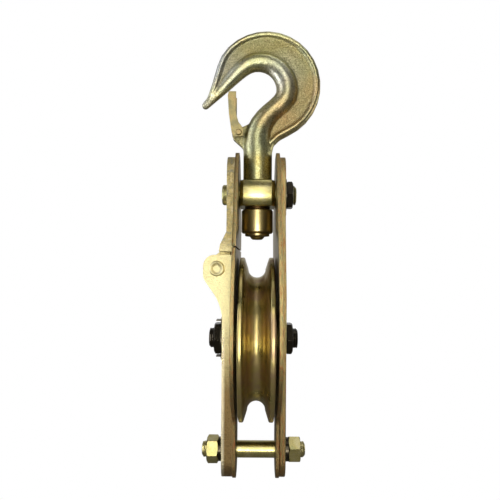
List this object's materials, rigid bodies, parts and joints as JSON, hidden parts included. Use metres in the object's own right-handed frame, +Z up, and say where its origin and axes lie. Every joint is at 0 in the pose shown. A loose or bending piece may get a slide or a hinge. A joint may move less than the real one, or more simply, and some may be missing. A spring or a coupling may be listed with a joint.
{
  "type": "snatch block",
  "caption": "Pulley block with a grooved sheave between two cheeks, a hinged side arm and a swivelling latched hook.",
  "frame": {"origin": "centre of the hook's bowl, where the supporting ring or eye pulls", "axes": "+Z up along the hook's shank, +X along the sheave's axle away from the hinged side, -Y the front"},
  "size_m": [0.1116, 0.1516, 0.4175],
  "materials": {
    "forged_zinc": "drop-forged steel with yellow chromated zinc plating",
    "plate_zinc": "rolled steel with yellow chromated zinc plating",
    "sheave_zinc": "turned steel with yellow chromated zinc plating",
    "turned_zinc": "bright turned steel, lightly plated",
    "machined_zinc": "machined steel with yellow chromated zinc plating",
    "black_oxide": "blackened steel",
    "bronze": "plain bearing bronze"
  },
  "bodies": {
    "hook": {"hook": "forged_zinc", "collar_nut": "turned_zinc", "thrust_washer": "bronze", "latch_rivet": "machined_zinc"},
    "latch": {"latch": "plate_zinc", "latch_spring": "black_oxide"},
    "trunnion": {"trunnion": "machined_zinc", "trunnion_nut": "black_oxide", "trunnion_tab_washer": "black_oxide"},
    "frame": {"right_guard_plate": "plate_zinc", "right_strap": "plate_zinc", "left_guard_plate": "plate_zinc", "left_strap": "forged_zinc", "hinge_pin": "machined_zinc", "hinge_ring": "black_oxide", "axle": "black_oxide", "axle_nut_left": "black_oxide", "axle_nut_right": "black_oxide", "axle_tab_washer": "black_oxide", "side_washer_left": "bronze", "side_washer_right": "bronze", "tie_stud": "machined_zinc", "tie_nut_left": "machined_zinc", "tie_nut_right": "machined_zinc", "tie_washer_left": "black_oxide", "tie_washer_right": "black_oxide"},
    "sheave": {"sheave": "sheave_zinc", "sheave_bush": "bronze"},
    "arm": {"arm_strap": "forged_zinc", "arm_guard_plate": "plate_zinc", "arm_rivet_upper": "machined_zinc", "arm_rivet_lower": "machined_zinc"}
  },
  "joints": [
    {"name": "latch_swing", "type": "hinge", "parent": "hook", "child": "latch", "pos_m": [-0.0179, 0, -0.0433], "axis": [0, 1, 0], "range_deg": [0, 35], "stiffness_Nm_per_rad": 0.03, "springref_deg": -45.84},
    {"name": "hook_swivel", "type": "hinge", "parent": "hook", "child": "trunnion", "pos_m": [0, 0, -0.1002], "axis": [0, 0, 1], "continuous": true},
    {"name": "block_tilt", "type": "hinge", "parent": "trunnion", "child": "frame", "pos_m": [0, 0, -0.1002], "axis": [1, 0, 0], "range_deg": [-85, 85]},
    {"name": "sheave_spin", "type": "hinge", "parent": "frame", "child": "sheave", "pos_m": [0, 0, -0.2348], "axis": [1, 0, 0], "continuous": true},
    {"name": "arm_swing", "type": "hinge", "parent": "frame", "child": "arm", "pos_m": [-0.0361, 0, -0.1695], "axis": [0, -1, 0], "range_deg": [0, 130]}
  ]
}
